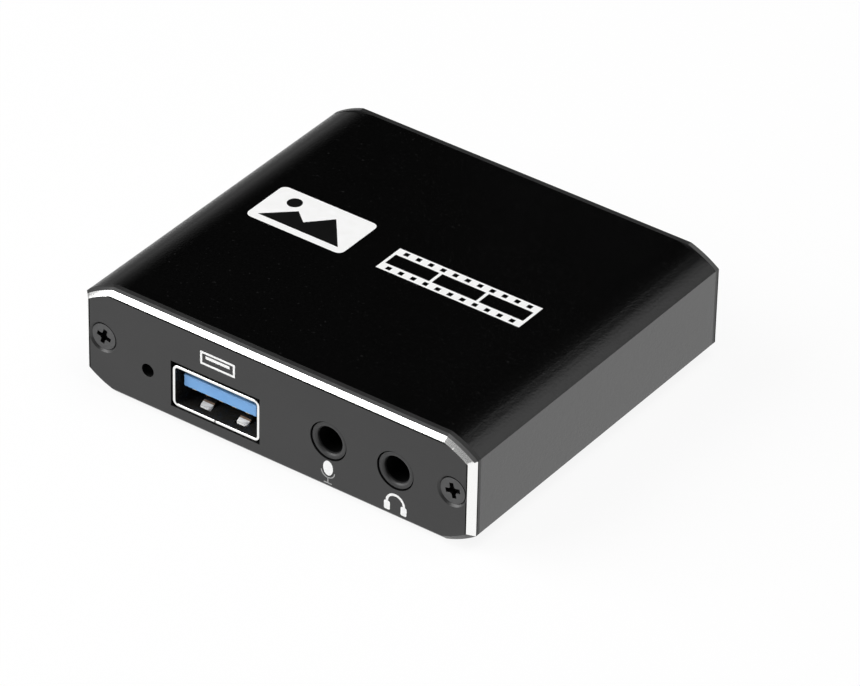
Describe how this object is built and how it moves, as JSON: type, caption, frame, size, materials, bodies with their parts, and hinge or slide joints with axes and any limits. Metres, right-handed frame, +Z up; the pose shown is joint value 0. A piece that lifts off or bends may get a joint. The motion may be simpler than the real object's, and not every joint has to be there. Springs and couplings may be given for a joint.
{
  "type": "video capture box",
  "caption": "Flat black metal box with bright bevelled ends. Takes in a video signal, loops it out and sends it to a computer, with a microphone and a headphone jack.",
  "frame": {"origin": "middle of the underside", "axes": "+X to the right across the front plate, +Y to the back, +Z up"},
  "size_m": [0.058, 0.052, 0.0152],
  "materials": {
    "black_anodised": "black anodised, satin",
    "plate_anodised": "black anodised, bead blasted, bright-cut bevel",
    "black_steel": "black zinc",
    "board_laminate": "green solder mask",
    "gap_pad_silicone": "soft matte",
    "bright_nickel": "bright nickel plate",
    "blue_plastic": "moulded",
    "gold_contact": "gold flash",
    "black_plastic": "moulded",
    "lamp_epoxy": "clear moulded",
    "tinned_wire": "tinned",
    "chip_mould": "moulded",
    "ferrite": "pressed",
    "capacitor_ceramic": "fired",
    "resistor_ceramic": "glazed"
  },
  "bodies": {
    "case": {"sleeve": "black_anodised", "front_plate": "plate_anodised", "rear_plate": "plate_anodised", "front_screws": "black_steel", "rear_screws": "black_steel", "circuit_board": "board_laminate", "gap_pad": "gap_pad_silicone", "data_shell": "bright_nickel", "data_tongue": "blue_plastic", "data_contacts": "gold_contact", "mic_body": "black_plastic", "mic_sleeve_contact": "gold_contact", "phone_body": "black_plastic", "phone_sleeve_contact": "gold_contact", "video_in_shell": "bright_nickel", "video_in_tongue": "black_plastic", "video_in_contacts": "gold_contact", "video_out_shell": "bright_nickel", "video_out_tongue": "black_plastic", "video_out_contacts": "gold_contact", "lamp_lens": "lamp_epoxy", "lamp_holder": "black_plastic", "lamp_leads": "tinned_wire", "capture_chip": "chip_mould", "repeater_chip": "chip_mould", "audio_chip": "chip_mould", "memory_chip": "chip_mould", "regulator_chip": "chip_mould", "power_coils": "ferrite", "crystals": "bright_nickel", "capacitors": "capacitor_ceramic", "resistors": "resistor_ceramic", "surge_arrays": "chip_mould"},
    "data_lower_spring": {"data_lower_fingers": "bright_nickel"},
    "data_upper_spring": {"data_upper_fingers": "bright_nickel"},
    "video_in_spring": {"video_in_fingers": "bright_nickel"},
    "video_out_spring": {"video_out_fingers": "bright_nickel"},
    "mic_ring": {"mic_ring_spring": "gold_contact"},
    "mic_tip": {"mic_tip_spring": "gold_contact"},
    "phone_ring": {"phone_ring_spring": "gold_contact"},
    "phone_tip": {"phone_tip_spring": "gold_contact"}
  },
  "joints": [
    {"name": "data_lower_flex", "type": "hinge", "parent": "case", "child": "data_lower_spring", "pos_m": [-0.0089, -0.02435, 0.00259], "axis": [-1, 0, 0], "range_deg": [0, 12], "stiffness_Nm_per_rad": 0.05},
    {"name": "data_upper_flex", "type": "hinge", "parent": "case", "child": "data_upper_spring", "pos_m": [-0.0089, -0.02435, 0.00816], "axis": [1, 0, 0], "range_deg": [0, 12], "stiffness_Nm_per_rad": 0.05},
    {"name": "video_in_flex", "type": "hinge", "parent": "case", "child": "video_in_spring", "pos_m": [0.0106, 0.02435, 0.00905], "axis": [-1, 0, 0], "range_deg": [0, 12], "stiffness_Nm_per_rad": 0.05},
    {"name": "video_out_flex", "type": "hinge", "parent": "case", "child": "video_out_spring", "pos_m": [-0.0106, 0.02435, 0.00905], "axis": [-1, 0, 0], "range_deg": [0, 12], "stiffness_Nm_per_rad": 0.05},
    {"name": "mic_ring_flex", "type": "hinge", "parent": "case", "child": "mic_ring", "pos_m": [0.00555, -0.0203, 0.0072], "axis": [0, 0, 1], "range_deg": [0, 8], "stiffness_Nm_per_rad": 0.05},
    {"name": "mic_tip_flex", "type": "hinge", "parent": "case", "child": "mic_tip", "pos_m": [0.01045, -0.0174, 0.0072], "axis": [0, 0, -1], "range_deg": [0, 8], "stiffness_Nm_per_rad": 0.05},
    {"name": "phone_ring_flex", "type": "hinge", "parent": "case", "child": "phone_ring", "pos_m": [0.01535, -0.0203, 0.0072], "axis": [0, 0, 1], "range_deg": [0, 8], "stiffness_Nm_per_rad": 0.05},
    {"name": "phone_tip_flex", "type": "hinge", "parent": "case", "child": "phone_tip", "pos_m": [0.02025, -0.0174, 0.0072], "axis": [0, 0, -1], "range_deg": [0, 8], "stiffness_Nm_per_rad": 0.05}
  ]
}
